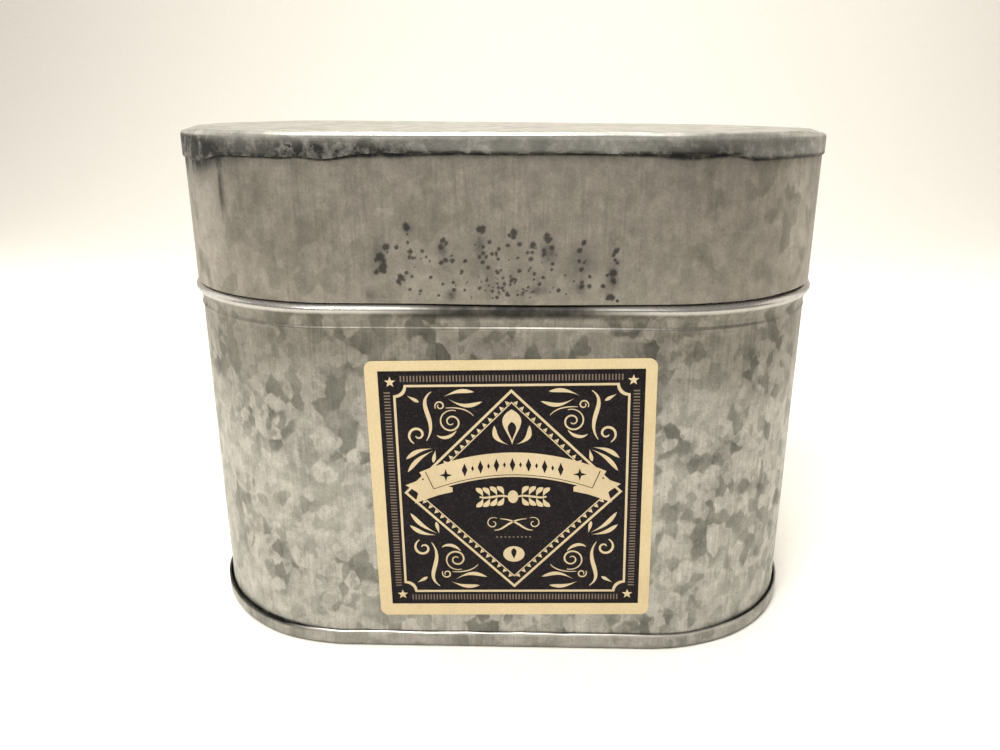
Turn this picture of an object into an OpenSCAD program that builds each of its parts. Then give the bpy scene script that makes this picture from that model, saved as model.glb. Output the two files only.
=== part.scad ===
// Oval galvanised candle tin with a lift-off lid, a paper label, and a two-wick wax fill.
// The plan is two half circles joined by straight sides. X runs along the tin, +Y is its back,
// and the origin is on the underside of the base, in the middle.

/* [Tin] */
// Width of the body wall, end to end
body_w = 119.6; // [105:0.1:140]
// Depth of the body wall, front to back
body_d = 62.6; // [58:0.1:80]
// Height of the closed tin
tin_h = 96.2; // [88:0.1:125]
// Thickness of the galvanised sheet
sheet = 0.45; // [0.35:0.05:0.6]

/* [Shoulder bead and neck] */
// Height of the lid's lower edge above the table
lid_line = 68.4; // [64:0.1:76]
// How far the bead stands out of the wall
bead_out = 1.3; // [0.9:0.1:1.8]
// Height of the bead
bead_h = 4.2; // [3:0.1:6]
// How far the neck steps in from the wall
neck_in = 0.35; // [0.2:0.05:0.6]
// Height of the neck above the lid's lower edge
neck_h = 17; // [10:0.5:19]

/* [Base pan] */
// Height of the upturned flange
base_flange_h = 3.7; // [3:0.1:6]
// Gap between the flange and the wall
base_flange_gap = 0.5; // [0.3:0.05:0.8]
// Outer radius of the rounded bend
base_bend_r = 1.3; // [1:0.1:1.8]

/* [Lid] */
// Width of the skirt, end to end
lid_w = 120.6; // [106:0.1:141]
// Height of the down-turned flange on the lid's top
cap_flange_h = 2.9; // [2:0.1:5]
// Gap between the flange and the skirt
cap_flange_gap = 0.1; // [0.05:0.05:0.4]
// Outer radius of the rounded fold
cap_bend_r = 1.2; // [1:0.1:1.8]
// How far the lid clears the bead that it rests over
lid_rest_gap = 0.3; // [0.2:0.05:0.5]

/* [Label] */
// Side of the square label
label_side = 50.8; // [40:0.1:52]
// Thickness of the label
label_t = 0.15; // [0.1:0.05:0.3]
// Radius of the label's corners
label_corner_r = 1.5; // [0.5:0.1:4]
// How far the label sits to the right of the middle
label_x = 2.6; // [-3:0.1:3]
// Height of the label's middle above the table
label_z = 32.8; // [30:0.1:36]
// How far the label is turned, right side up, in degrees
label_turn = 1.1; // [-2:0.1:2]

/* [Wax and wicks] */
// Height of the wax surface above the table
wax_top = 57; // [30:0.5:60]
// Distance between the two wicks
wick_spacing = 58; // [40:1:64]
// Diameter of each braided wick
wick_d = 2.2; // [1.6:0.1:2.8]
// How far a trimmed wick stands above the wax
wick_trim = 6; // [4:0.5:7]
// Diameter of the wick tabs
tab_d = 15; // [12:0.5:20]
// Diameter of the adhesive discs under the tabs
sticker_d = 13; // [10:0.5:18]
// Thickness of the adhesive discs
sticker_t = 1.0; // [0.5:0.1:1.5]

/* [Hidden] */
$fn = 96;

straight = body_w - body_d;
wall_r = body_d / 2;
wall_in_r = wall_r - sheet;
skirt_r = wall_r + (lid_w - body_w) / 2;
floor_z = sheet;
foot_gap = 0.15;
foot_z = floor_z + foot_gap;
flange_in_r = wall_r + base_flange_gap;
flange_out_r = flange_in_r + sheet;
cap_in_r = skirt_r + cap_flange_gap;
cap_out_r = cap_in_r + sheet;
cap_under_z = tin_h - sheet;
skirt_top_z = tin_h - cap_bend_r;
skirt_in_r = skirt_r - sheet;
bead_top_z = lid_line - lid_rest_gap;
bead_bottom_z = bead_top_z - bead_h;
neck_top_z = lid_line + neck_h;

bead_steps = 14;
crease_h = 1.0;
crease_out = 0.28;
hem_h = 3;
bend_steps = 8;
contact_gap = 0.05;
cut_over = 1;

base_solder_leg = 1.6;
lid_solder_leg = 1.4;
lap_w = 5;
lap_margin = 1;
seam_solder_w = 1.2;
seam_solder_t = 0.8 * sheet;
lap_bottom_z = base_flange_h + lap_margin;
lap_top_z = bead_bottom_z - crease_h - lap_margin;
lid_lap_angle = 214;
lid_lap_t = 0.25;
lid_lap_w = 3;
lid_lap_margin = 0.5;
lid_lap_h = tin_h - cap_flange_h - lid_line - 2 * lid_lap_margin;
lid_lap_sweep = lid_lap_w / skirt_r * 180 / PI;

wax_gap = 0.1;
wax_bottom_z = floor_z + contact_gap;
tab_t = 0.3;
tab_neck_h = 6;
tab_neck_d = 3.4;
pocket_gap = 0.05;
tab_z = floor_z + sticker_t;
wick_top_z = wax_top + wick_trim;

// Sweeps a section, drawn as distance from the middle line against height, round the oval
module swept_oval() {
    for (turn = [0, 180])
        rotate([0, 0, turn]) {
            translate([straight / 2, 0, 0])
                rotate([0, 0, -90])
                    rotate_extrude(angle = 180)
                        children();
            translate([-straight / 2, 0, 0])
                rotate([90, 0, 90])
                    linear_extrude(straight)
                        children();
        }
}

// A solid oval block of radius r at its ends, from height z0 to z1
module oval_block(r, z0, z1) {
    swept_oval()
        translate([0, z0])
            square([r, z1 - z0]);
}

// A quarter ring section of sheet, centred at the bend's own middle
module bend_section(inner_r, outer_r, from_angle) {
    angles = [for (i = [0:bend_steps]) from_angle + 90 * i / bend_steps];
    outer = [for (a = angles) outer_r * [cos(a), sin(a)]];
    inner = [for (i = [bend_steps:-1:0]) inner_r * [cos(angles[i]), sin(angles[i])]];
    polygon(concat(outer, inner));
}

// Outer face of the body, as distance from the middle line, at u from the bead's foot (0) to its top (1)
function bead_face(u) = wall_r - neck_in * u + bead_out * sin(180 * u * u);

// Outer line of the body's section, from its foot to the neck's rim
function body_line() = concat(
    [[wall_r, foot_z]],
    [[wall_r, bead_bottom_z - crease_h]],
    [[wall_r + crease_out, bead_bottom_z - crease_h / 2]],
    [for (i = [0:bead_steps])
        let (u = i / bead_steps)
        [bead_face(u), bead_bottom_z + bead_h * u]],
    [[wall_r - neck_in, neck_top_z]]
);

module body_wall() {
    face = body_line();
    back = [for (i = [len(face) - 1:-1:0]) face[i] - [sheet, 0]];
    color("#a3a6a3") {
        swept_oval() {
            polygon(concat(face, back));
            // hem folded inwards along the mouth
            translate([wall_r - neck_in - 2 * sheet, neck_top_z - hem_h])
                square([sheet, hem_h]);
        }
        // the sheet's outer lap at the back
        translate([-lap_w / 2, wall_r, lap_bottom_z])
            cube([lap_w, sheet, lap_top_z - lap_bottom_z]);
    }
}

module body_seam_solder() {
    color("#8d9091")
        translate([lap_w / 2, wall_r, lap_bottom_z])
            linear_extrude(lap_top_z - lap_bottom_z)
                polygon([[0, 0], [seam_solder_w, 0], [0, seam_solder_t]]);
}

module base_pan() {
    bend_x = flange_out_r - base_bend_r;
    color("#8f9293") {
        oval_block(bend_x, 0, sheet);
        swept_oval() {
            translate([bend_x, base_bend_r])
                bend_section(base_bend_r - sheet, base_bend_r, 270);
            translate([flange_in_r, base_bend_r])
                square([sheet, base_flange_h - base_bend_r]);
        }
    }
}

module base_solder() {
    color("#b4b6b5")
        swept_oval()
            translate([wall_in_r, floor_z])
                polygon([[0, 0], [0, base_solder_leg], [-base_solder_leg, 0]]);
}

module front_label() {
    half = label_side / 2 - label_corner_r;
    color("#e1c387")
        translate([label_x, -wall_r, label_z])
            rotate([90, -label_turn, 0])
                linear_extrude(label_t)
                    union() {
                        square([label_side, 2 * half], center = true);
                        square([2 * half, label_side], center = true);
                        for (x = [-half, half])
                            for (y = [-half, half])
                                translate([x, y])
                                    circle(label_corner_r);
                    }
}

module wax_fill() {
    color("#f0e6cd")
        difference() {
            union() {
                oval_block(wall_in_r - base_solder_leg - wax_gap, wax_bottom_z, wax_top);
                oval_block(wall_in_r - wax_gap, floor_z + base_solder_leg + wax_gap, wax_top);
            }
            for (side = [-1, 1])
                translate([side * wick_spacing / 2, 0, 0]) {
                    cylinder(d = wick_d + 2 * pocket_gap, h = tin_h);
                    cylinder(d = tab_neck_d + 2 * pocket_gap, h = tab_z + tab_neck_h + pocket_gap);
                    cylinder(d = tab_d + 2 * pocket_gap, h = tab_z + tab_t + pocket_gap);
                }
        }
}

module wick(side) {
    color("#efe9da")
        translate([side * wick_spacing / 2, 0, tab_z])
            cylinder(d = wick_d, h = wick_top_z - tab_z);
}

module wick_tab(side) {
    color("#c4c6c8")
        translate([side * wick_spacing / 2, 0, tab_z])
            difference() {
                union() {
                    cylinder(d = tab_d, h = tab_t);
                    cylinder(d = tab_neck_d, h = tab_neck_h);
                }
                translate([0, 0, -cut_over])
                    cylinder(d = wick_d + 2 * contact_gap, h = tab_neck_h + 2 * cut_over);
            }
}

module wick_sticker(side) {
    color("#f4f4f0")
        translate([side * wick_spacing / 2, 0, floor_z])
            cylinder(d = sticker_d, h = sticker_t);
}

module wick_left() {
    wick(-1);
}

module wick_right() {
    wick(1);
}

module wick_tab_left() {
    wick_tab(-1);
}

module wick_tab_right() {
    wick_tab(1);
}

module wick_sticker_left() {
    wick_sticker(-1);
}

module wick_sticker_right() {
    wick_sticker(1);
}

module lid_skirt() {
    color("#a5a29c")
        swept_oval()
            translate([skirt_in_r, lid_line])
                square([sheet, skirt_top_z - lid_line]);
}

// A low ridge of solder up the skirt's lap, on the left end towards the front
module lid_seam_solder() {
    color("#8d8a86")
        translate([-straight / 2, 0, lid_line + lid_lap_margin])
            rotate([0, 0, lid_lap_angle - lid_lap_sweep / 2])
                rotate_extrude(angle = lid_lap_sweep)
                    translate([skirt_r, 0])
                        square([lid_lap_t, lid_lap_h]);
}

module lid_top() {
    bend_x = cap_out_r - cap_bend_r;
    color("#a9a9a6") {
        oval_block(bend_x, cap_under_z, tin_h);
        swept_oval() {
            translate([bend_x, tin_h - cap_bend_r])
                bend_section(cap_bend_r - sheet, cap_bend_r, 0);
            translate([cap_in_r, tin_h - cap_flange_h])
                square([sheet, cap_flange_h - cap_bend_r]);
        }
    }
}

module lid_top_solder() {
    color("#b4b6b5")
        swept_oval()
            polygon([[skirt_in_r, skirt_top_z - lid_solder_leg / 2],
                     [skirt_in_r, skirt_top_z],
                     [cap_out_r - cap_bend_r, cap_under_z],
                     [skirt_in_r - lid_solder_leg, cap_under_z]]);
}

body_wall();
body_seam_solder();
base_pan();
base_solder();
front_label();
wax_fill();
wick_left();
wick_right();
wick_tab_left();
wick_tab_right();
wick_sticker_left();
wick_sticker_right();
lid_skirt();
lid_seam_solder();
lid_top();
lid_top_solder();
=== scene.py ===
"""Looks for an oval galvanised candle tin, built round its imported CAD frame.

Shapes are worked out in millimetres, and become metres where a mesh is made. The camera and the lights
are placed in metres.
"""
import math
import random

import bmesh
import bpy
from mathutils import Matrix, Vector, noise


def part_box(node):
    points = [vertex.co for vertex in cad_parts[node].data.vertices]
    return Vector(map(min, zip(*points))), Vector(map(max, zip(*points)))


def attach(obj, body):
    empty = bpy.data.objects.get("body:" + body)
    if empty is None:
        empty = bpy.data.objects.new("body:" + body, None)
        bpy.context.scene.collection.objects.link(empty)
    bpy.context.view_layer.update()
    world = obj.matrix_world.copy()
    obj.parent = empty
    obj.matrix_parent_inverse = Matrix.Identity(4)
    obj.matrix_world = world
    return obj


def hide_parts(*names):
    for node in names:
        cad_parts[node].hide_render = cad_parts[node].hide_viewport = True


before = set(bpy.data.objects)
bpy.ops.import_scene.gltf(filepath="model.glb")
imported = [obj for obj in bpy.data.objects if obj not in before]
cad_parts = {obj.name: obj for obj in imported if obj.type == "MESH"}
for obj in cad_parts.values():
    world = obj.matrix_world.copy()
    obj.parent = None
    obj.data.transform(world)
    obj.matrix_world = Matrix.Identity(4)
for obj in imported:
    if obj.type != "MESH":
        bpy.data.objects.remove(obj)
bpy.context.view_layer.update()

MM = 0.001


def cad_box(node):
    """A CAD node's lowest and highest corners, in mm."""
    return [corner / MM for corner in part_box(node)]


# -------- sizes taken from the frame

SHEET = 0.45
NECK_IN = 0.35
BEAD_OUT = 1.3
BEAD_H = 4.2
REST_GAP = 0.3
SKIRT_LO, SKIRT_HI = cad_box("lid_skirt")
BODY_HI = cad_box("body_wall")[1]
PAN_HI = cad_box("base_pan")[1]
CAP_HI = cad_box("lid_top")[1]
WAX_LO, WAX_HI = cad_box("wax_fill")
LABEL_LO, LABEL_HI = cad_box("front_label")

SKIRT_R = SKIRT_HI.y
HALF_STRAIGHT = SKIRT_HI.x - SKIRT_HI.y
WALL_R = cad_box("base_solder")[1].y + SHEET
FLANGE_GAP = PAN_HI.y - SHEET - WALL_R
NECK_TOP = BODY_HI.z
NECK_R = WALL_R - NECK_IN
LID_LINE = SKIRT_LO.z
TOP_Z = CAP_HI.z
BEAD_TOP = LID_LINE - REST_GAP
BEAD_FOOT = BEAD_TOP - BEAD_H
LABEL_MID = (LABEL_LO + LABEL_HI) / 2
LABEL_TURN = math.radians(1.1)
LABEL_SIDE = 50.8
SEAM_ANGLE = math.radians(-146)


# -------- camera, floor and light

def add_camera():
    """Looks down at the tin's front from a little to the right of its middle."""
    pitch, yaw = 0.318, -0.026
    data = bpy.data.cameras.new("camera")
    data.sensor_width = 36
    data.lens = 30.744
    data.clip_start = 0.01
    camera = bpy.data.objects.new("camera", data)
    camera.location = (0.0041, -0.1718, 0.1017)
    level = math.cos(pitch)
    forward = Vector((math.sin(yaw) * level, math.cos(yaw) * level, -math.sin(pitch)))
    camera.rotation_euler = forward.to_track_quat("-Z", "Y").to_euler()
    bpy.context.scene.collection.objects.link(camera)
    bpy.context.scene.camera = camera


def add_area_light(name, place, target, size, power, colour):
    data = bpy.data.lights.new(name, "AREA")
    data.shape = "RECTANGLE"
    data.size, data.size_y = size
    data.energy = power
    data.color = colour
    lamp = bpy.data.objects.new(name, data)
    lamp.location = place
    lamp.rotation_euler = (Vector(target) - Vector(place)).to_track_quat("-Z", "Y").to_euler()
    bpy.context.scene.collection.objects.link(lamp)


def add_lights():
    world = bpy.data.worlds.new("room")
    world.use_nodes = True
    background = world.node_tree.nodes["Background"]
    background.inputs["Color"].default_value = (1.0, 0.95, 0.88, 1)
    background.inputs["Strength"].default_value = 0.20
    bpy.context.scene.world = world
    add_area_light("key", (-0.14, -0.38, 0.56), (0, 0, 0.05), (0.30, 0.30), 5.2, (1.0, 0.97, 0.93))
    add_area_light("overhead", (-0.05, 0.10, 0.60), (0, 0.05, 0.0), (0.4, 0.3), 1.5, (1.0, 0.96, 0.90))
    add_area_light("left_side", (-0.45, 0.12, 0.20), (0, 0, 0.05), (0.3, 0.4), 0.5, (1.0, 0.96, 0.90))
    add_area_light("right_side", (0.45, 0.12, 0.20), (0, 0, 0.05), (0.3, 0.4), 0.5, (1.0, 0.94, 0.86))
    add_area_light("back_wash", (0.1, 0.35, 0.75), (0, 0.85, 0.2), (0.9, 0.3), 3.2, (1.0, 0.94, 0.86))


def add_floor(material):
    """A pale sheet that lies flat under the tin and curves up behind it."""
    half_width, front, flat_back, radius, height = 1600, -300, 420, 500, 1200
    curve = arc_points(flat_back, radius, radius, -90, 0, 16)
    line = [(front, 0.0), *curve, (flat_back + radius, height)]
    verts = [(x, y, z) for y, z in line for x in (-half_width, half_width)]
    faces = [(2 * i, 2 * i + 1, 2 * i + 3, 2 * i + 2) for i in range(len(line) - 1)]
    floor = new_object("floor", verts, faces, material)


# -------- mesh helpers

def new_object(name, verts, faces, material, sharp=40, weld=0.0):
    """A smooth-shaded object from points in mm, with edges over the sharp angle (degrees) kept crisp."""
    mesh = bpy.data.meshes.new(name)
    mesh.from_pydata([tuple(c * MM for c in v) for v in verts], [], faces)
    bm = bmesh.new()
    bm.from_mesh(mesh)
    if weld:
        bmesh.ops.remove_doubles(bm, verts=bm.verts, dist=weld * MM)
    bmesh.ops.recalc_face_normals(bm, faces=bm.faces)
    bm.to_mesh(mesh)
    bm.free()
    mesh.shade_smooth()
    mesh.set_sharp_from_angle(angle=math.radians(sharp))
    mesh.materials.append(material)
    piece = bpy.data.objects.new(name, mesh)
    bpy.context.scene.collection.objects.link(piece)
    return piece


def bump(value, centre, width):
    """1 at the centre, falling smoothly to 0 about twice the width away."""
    return math.exp(-((value - centre) / width) ** 2)


def step(value, low, high):
    """0 below low, 1 above high, smooth between."""
    t = min(max((value - low) / (high - low), 0.0), 1.0)
    return t * t * (3 - 2 * t)


def wobble(x, y, z, wavelength, seed):
    """Smooth repeatable noise from -1 to 1."""
    return noise.noise(Vector((x, y, z)) / wavelength + Vector((seed, seed * 1.7, -seed)))


def stations(arc_steps, front_steps, back_steps):
    """Points (x, outward x, outward y) on the oval's middle line, rightwards from the front's left end."""
    s = HALF_STRAIGHT
    points = [(-s + 2 * s * i / front_steps, 0.0, -1.0) for i in range(front_steps)]
    for i in range(arc_steps):
        a = math.pi * (i / arc_steps - 0.5)
        points.append((s, math.cos(a), math.sin(a)))
    points += [(s - 2 * s * i / back_steps, 0.0, 1.0) for i in range(back_steps)]
    for i in range(arc_steps):
        a = math.pi * (i / arc_steps + 0.5)
        points.append((-s, math.cos(a), math.sin(a)))
    return points


def sweep(name, material, steps, section, shape, closed=True):
    """A piece whose section of (radius, height) points is carried round the oval.

    steps counts the points round each end, along the front and along the back. shape says how far each
    point moves (out, up). An open section starts and ends on the oval's middle line, and is welded there.
    """
    verts, faces = [], []
    around, rows = stations(*steps), len(section)
    for cx, nx, ny in around:
        for r, z in section:
            dr, dz = shape(cx + nx * r, ny * r, z)
            verts.append((cx + nx * (r + dr), ny * (r + dr), z + dz))
    last = rows if closed else rows - 1
    for i in range(len(around)):
        j = (i + 1) % len(around)
        for k in range(last):
            m = (k + 1) % rows
            faces.append((i * rows + k, j * rows + k, j * rows + m, i * rows + m))
    return new_object(name, verts, faces, material, weld=0.0 if closed else 0.001)


def polar(centre, radius, angle):
    """A point at this distance and angle (radians) from the centre."""
    return (centre[0] + radius * math.cos(angle), centre[1] + radius * math.sin(angle))


def full_turn(count):
    """Evenly spaced angles, in radians."""
    return [2 * math.pi * i / count for i in range(count)]


def fractions(count):
    """From 0 to 1 in this many equal steps."""
    return [i / count for i in range(count + 1)]


def arc_points(cx, cz, radius, start, end, count):
    """Points along an arc between two angles in degrees."""
    angles = [math.radians(start + (end - start) * i / count) for i in range(count + 1)]
    return [polar((cx, cz), radius, a) for a in angles]


def from_middle(x, y):
    """Distance from the oval's middle line."""
    return math.hypot(max(abs(x) - HALF_STRAIGHT, 0.0), y)


def rows_between(low, high, spacing):
    count = max(1, round((high - low) / spacing))
    return [low + (high - low) * i / count for i in range(count + 1)]


def upright(radius, low, high, spacing):
    """Section points straight up at one radius."""
    return [(radius, z) for z in rows_between(low, high, spacing)]


def finish_piece(piece, body, slot, *nodes, **attributes):
    """Attaches a piece to its body, hides the CAD nodes it stands in for, and stores each attribute's
    function(x, y, z) on its vertices for the material.
    """
    mesh = piece.data
    for name, function in attributes.items():
        values = mesh.attributes.new(name, "FLOAT", "POINT")
        for vertex, value in zip(mesh.vertices, values.data):
            value.value = function(*(c / MM for c in vertex.co))
    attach(piece, body)
    if nodes:
        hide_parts(*nodes)


# -------- materials

class Graph:
    """Builds one node material. Sockets are passed between calls as plain values."""

    def __init__(self, name, **constants):
        self.material = bpy.data.materials.new(name)
        self.material.use_nodes = True
        self.tree = self.material.node_tree
        self.shader = self.tree.nodes["Principled BSDF"]
        for key, value in constants.items():
            self.shader.inputs[key.replace("_", " ")].default_value = value

    def node(self, kind, *inputs, **settings):
        made = self.tree.nodes.new(kind)
        for key, value in settings.items():
            setattr(made, key, value)
        for socket, value in inputs:
            if isinstance(value, bpy.types.NodeSocket):
                self.tree.links.new(value, made.inputs[socket])
            else:
                made.inputs[socket].default_value = value
        return made

    def place(self, scale=(1, 1, 1), offset=(0, 0, 0)):
        """Object coordinates in millimetres, scaled."""
        coords = self.node("ShaderNodeTexCoord").outputs["Object"]
        in_mm = tuple(s / MM for s in scale)
        scaled = self.node("ShaderNodeMapping", ("Vector", coords), ("Scale", in_mm), ("Location", offset))
        return scaled.outputs["Vector"]

    def noise(self, vector, scale, detail=2.0, roughness=0.5, distortion=0.0):
        made = self.node(
            "ShaderNodeTexNoise",
            ("Vector", vector), ("Scale", scale), ("Detail", detail),
            ("Roughness", roughness), ("Distortion", distortion),
        )
        return made.outputs["Fac"]

    def cells(self, vector, scale):
        """A random value per Voronoi cell, with softened borders."""
        made = self.node(
            "ShaderNodeTexVoronoi", ("Vector", vector), ("Scale", scale), ("Smoothness", 0.36),
            feature="SMOOTH_F1",
        )
        return self.node("ShaderNodeSeparateColor", ("Color", made.outputs["Color"])).outputs["Red"]

    def math(self, operation, a, b):
        return self.node("ShaderNodeMath", (0, a), (1, b), operation=operation).outputs[0]

    def vector_math(self, operation, a, b):
        return self.node("ShaderNodeVectorMath", (0, a), (1, b), operation=operation).outputs[0]

    def warp(self, vector, scale, amount):
        """Pushes coordinates about by smooth noise."""
        made = self.node("ShaderNodeTexNoise", ("Vector", vector), ("Scale", scale), ("Detail", 1.0))
        centred = self.vector_math("SUBTRACT", made.outputs["Color"], (0.5,) * 3)
        return self.vector_math("ADD", vector, self.vector_math("MULTIPLY", centred, (amount,) * 3))

    def ramp(self, value, stops):
        """A grey or colour ramp from (place, value) stops."""
        made = self.node("ShaderNodeValToRGB", ("Fac", value))
        ramp = made.color_ramp
        while len(ramp.elements) < len(stops):
            ramp.elements.new(1.0)
        for element, (place, colour) in zip(ramp.elements, stops):
            element.position = place
            element.color = self.rgba(colour)
        return made.outputs["Color"]

    def spread(self, value, low, high):
        """A ramp from low to high over the middle of a noise's range."""
        return self.ramp(value, [(0.3, low), (0.7, high)])

    def blend(self, amount, a, b, mode="MIX"):
        made = self.node(
            "ShaderNodeMix", (0, amount), (6, self.rgba(a)), (7, self.rgba(b)),
            data_type="RGBA", blend_type=mode,
        )
        return made.outputs[2]

    def tint(self, a, b):
        return self.blend(1.0, a, b, "MULTIPLY")

    @staticmethod
    def rgba(value):
        if isinstance(value, bpy.types.NodeSocket):
            return value
        if isinstance(value, (int, float)):
            return (value, value, value, 1)
        return tuple(value) + (1,)

    def attribute(self, name):
        return self.node("ShaderNodeAttribute", attribute_name=name).outputs["Fac"]

    def bump(self, height, distance, strength, under=None):
        """Relief this high, in mm, on top of any relief under it."""
        inputs = [("Height", height), ("Distance", distance * MM), ("Strength", strength)]
        if under is not None:
            inputs.append(("Normal", under))
        return self.node("ShaderNodeBump", *inputs).outputs["Normal"]

    def finish(self, colour, roughness, normal=None):
        """Wires the finished values into the shader, and hands over the material."""
        for socket, value in (("Base Color", colour), ("Roughness", roughness), ("Normal", normal)):
            if value is not None:
                self.tree.links.new(value, self.shader.inputs[socket])
        return self.material


# Colours laid on the zinc: painted shade on the upper wall, burnish with painted highlight, grime with
# painted shade, grey smudges, corrosion spots, and soot with painted shade
WEATHERED, BURNISHED, GRIME = (0.60, 0.58, 0.55), (0.66, 0.64, 0.61), (0.030, 0.028, 0.026)
SMUDGE, SPOT, SOOT = (0.062, 0.060, 0.060), (0.043, 0.040, 0.038), (0.030, 0.030, 0.028)


def galvanised(name, colour, flake, contrast, seed, marks, drawn=0.8, grain=(2.4, 2.4, 0.09)):
    """Zinc-coated sheet: lobed spangle flakes over a paler ground, with fine grain along one axis.

    flake is a flake's size in mm, contrast how dark the flakes are, and drawn the grain's strength.
    """
    g = Graph(name, Metallic=0.80)
    place = g.place(offset=(seed, -seed, seed * 0.5))
    tall = g.place(scale=(1, 1, 0.78), offset=(seed, seed, -seed))
    lobed = g.warp(g.warp(tall, 1.3 / flake, 0.55 * flake), 0.16, 2.5)
    big = g.ramp(g.cells(lobed, 1.0 / flake), [(0.12, 0.30), (0.30, 0.58), (0.46, 0.84), (0.80, 1.0)])
    leafy = g.warp(tall, 2.2 / flake, 0.5 * flake)
    small = g.ramp(g.cells(leafy, 1.8 / flake), [(0.12, 0.66), (0.36, 0.91), (0.75, 1.0)])
    flakes = g.math("MULTIPLY", big, small)
    patches = g.ramp(g.noise(place, 0.07, 2.0), [(0.34, 0.30), (0.64, 1.0)])
    tone = g.blend(g.math("MULTIPLY", patches, contrast), 1.0, flakes)
    tone = g.tint(tone, g.ramp(flakes, [(0.25, (0.985, 1.0, 0.955)), (0.9, (1.0, 0.99, 0.98))]))
    tone = g.tint(colour, tone)
    clouds = g.ramp(g.noise(place, 0.33, 4.0, 0.6), [(0.30, 0.80), (0.50, 0.97), (0.70, 1.16)])
    tone = g.tint(tone, clouds)
    streaks = g.noise(g.place(scale=grain), 1.0, 3.0, 0.6)
    strong = g.ramp(g.noise(place, 0.12, 2.0), [(0.35, 0.35 * drawn), (0.65, drawn)])
    streak_tone = g.ramp(streaks, [(0.28, 0.72), (0.50, 1.0), (0.72, 1.22)])
    tone = g.blend(strong, tone, g.tint(tone, streak_tone))
    speckle = g.spread(g.noise(place, 2.6, 3.0, 0.75), 0.82, 1.16)
    tone = g.blend(0.9, tone, g.tint(tone, speckle))
    rough = g.ramp(flakes, [(0.2, 0.54), (1.0, 0.43)])
    rough = g.math("ADD", rough, g.math("MULTIPLY", g.math("SUBTRACT", streaks, 0.5), 0.18))
    tone, rough = marks(g, place, tone, rough)
    unworn = g.math("SUBTRACT", 1.0, g.math("MULTIPLY", g.attribute("rub"), 0.92))
    normal = g.bump(g.math("MULTIPLY", flakes, unworn), 0.02, 0.3)
    normal = g.bump(g.math("MULTIPLY", streaks, unworn), 0.03, 0.5 * drawn, normal)
    return g.finish(tone, rough, normal)


def wall_marks(g, place, tone, rough):
    """Painted shade on the upper wall towards the bead, grime mixed with painted shade in the gaps, under
    the bead and in the lid's shadow, and a burnished bead with painted highlight.
    """
    tone = g.blend(g.attribute("weather"), tone, g.tint(tone, WEATHERED))
    clouds = g.ramp(g.noise(place, 0.5, 3.0), [(0.3, 0.75), (0.6, 1.0)])
    grime = g.math("MULTIPLY", g.attribute("grime"), clouds)
    tone = g.blend(grime, tone, GRIME)
    rough = g.math("ADD", rough, g.math("MULTIPLY", grime, 0.2))
    return rubbed(g, tone, rough)


def rubbed(g, tone, rough):
    """Zinc burnished by handling: smoother, and paler as a painted highlight."""
    rub = g.attribute("rub")
    tone = g.blend(g.math("MULTIPLY", rub, 0.6), tone, BURNISHED)
    smoother = g.math("MULTIPLY", g.math("SUBTRACT", rough, 0.25), g.math("MULTIPLY", rub, 0.9))
    return tone, g.math("SUBTRACT", rough, smoother)


def lid_marks(g, place, tone, rough):
    """Dark corrosion spots among soft grey smudges, and smoky tarnish mixed with painted shade under and
    on the cap's flange.
    """
    spots = g.attribute("spots")
    grit = g.math("SUBTRACT", g.noise(place, 2.1, 4.0, 0.7), 0.5)
    patchy = g.ramp(g.noise(place, 1.2, 4.0, 0.7), [(0.30, 0.45), (0.56, 1.0)])
    soft = g.math("MULTIPLY", g.attribute("smudge"), patchy)
    tone = g.blend(soft, tone, SMUDGE)
    ragged = g.math("ADD", spots, g.math("MULTIPLY", grit, 0.9))
    core = g.ramp(ragged, [(0.38, 0.0), (0.78, 1.0)])
    core = g.math("MULTIPLY", core, g.ramp(spots, [(0.10, 0.0), (0.3, 1.0)]))
    tone = g.blend(g.math("MULTIPLY", core, 0.90), tone, SPOT)
    # Soot and tarnish mixed with painted shade under and on the cap's flange.
    haze = g.attribute("smoke")
    cloud = g.ramp(g.noise(place, 0.45, 4.0, 0.65), [(0.30, 0.55), (0.52, 1.0)])
    smoke = g.math("MULTIPLY", haze, cloud)
    clots = g.ramp(g.noise(place, 0.75, 3.0, 0.6), [(0.55, 0.0), (0.64, 1.0)])
    clots = g.math("MULTIPLY", clots, g.ramp(haze, [(0.68, 0.0), (0.92, 1.0)]))
    tone = g.blend(g.math("MAXIMUM", smoke, clots), tone, SOOT)
    rough = g.math("ADD", rough, g.math("MULTIPLY", core, 0.25))
    rough = g.math("ADD", rough, g.math("MULTIPLY", smoke, 0.2))
    return rubbed(g, tone, rough)


def dull_solder():
    g = Graph("solder", Metallic=0.85)
    place = g.place()
    clouds = g.noise(place, 0.9, 4.0, 0.6)
    tone = g.spread(clouds, (0.30, 0.30, 0.29), (0.52, 0.52, 0.50))
    ripples = g.bump(g.noise(place, 1.6, 3.0), 0.08, 0.6)
    return g.finish(tone, g.spread(clouds, 0.58, 0.36), ripples)


def paper(name, colour, darker):
    """Matt label stock with a faint fibre and yellowing."""
    g = Graph(name, Specular_IOR_Level=0.22)
    fibre = g.noise(g.place(scale=(3, 3, 1.2)), 1.3, 4.0, 0.7)
    cloud = g.noise(g.place(), 0.12, 3.0)
    tone = g.tint(g.spread(cloud, darker, colour), g.spread(fibre, 0.90, 1.06))
    return g.finish(tone, g.spread(fibre, 0.70, 0.82), g.bump(fibre, 0.01, 0.4))


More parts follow.
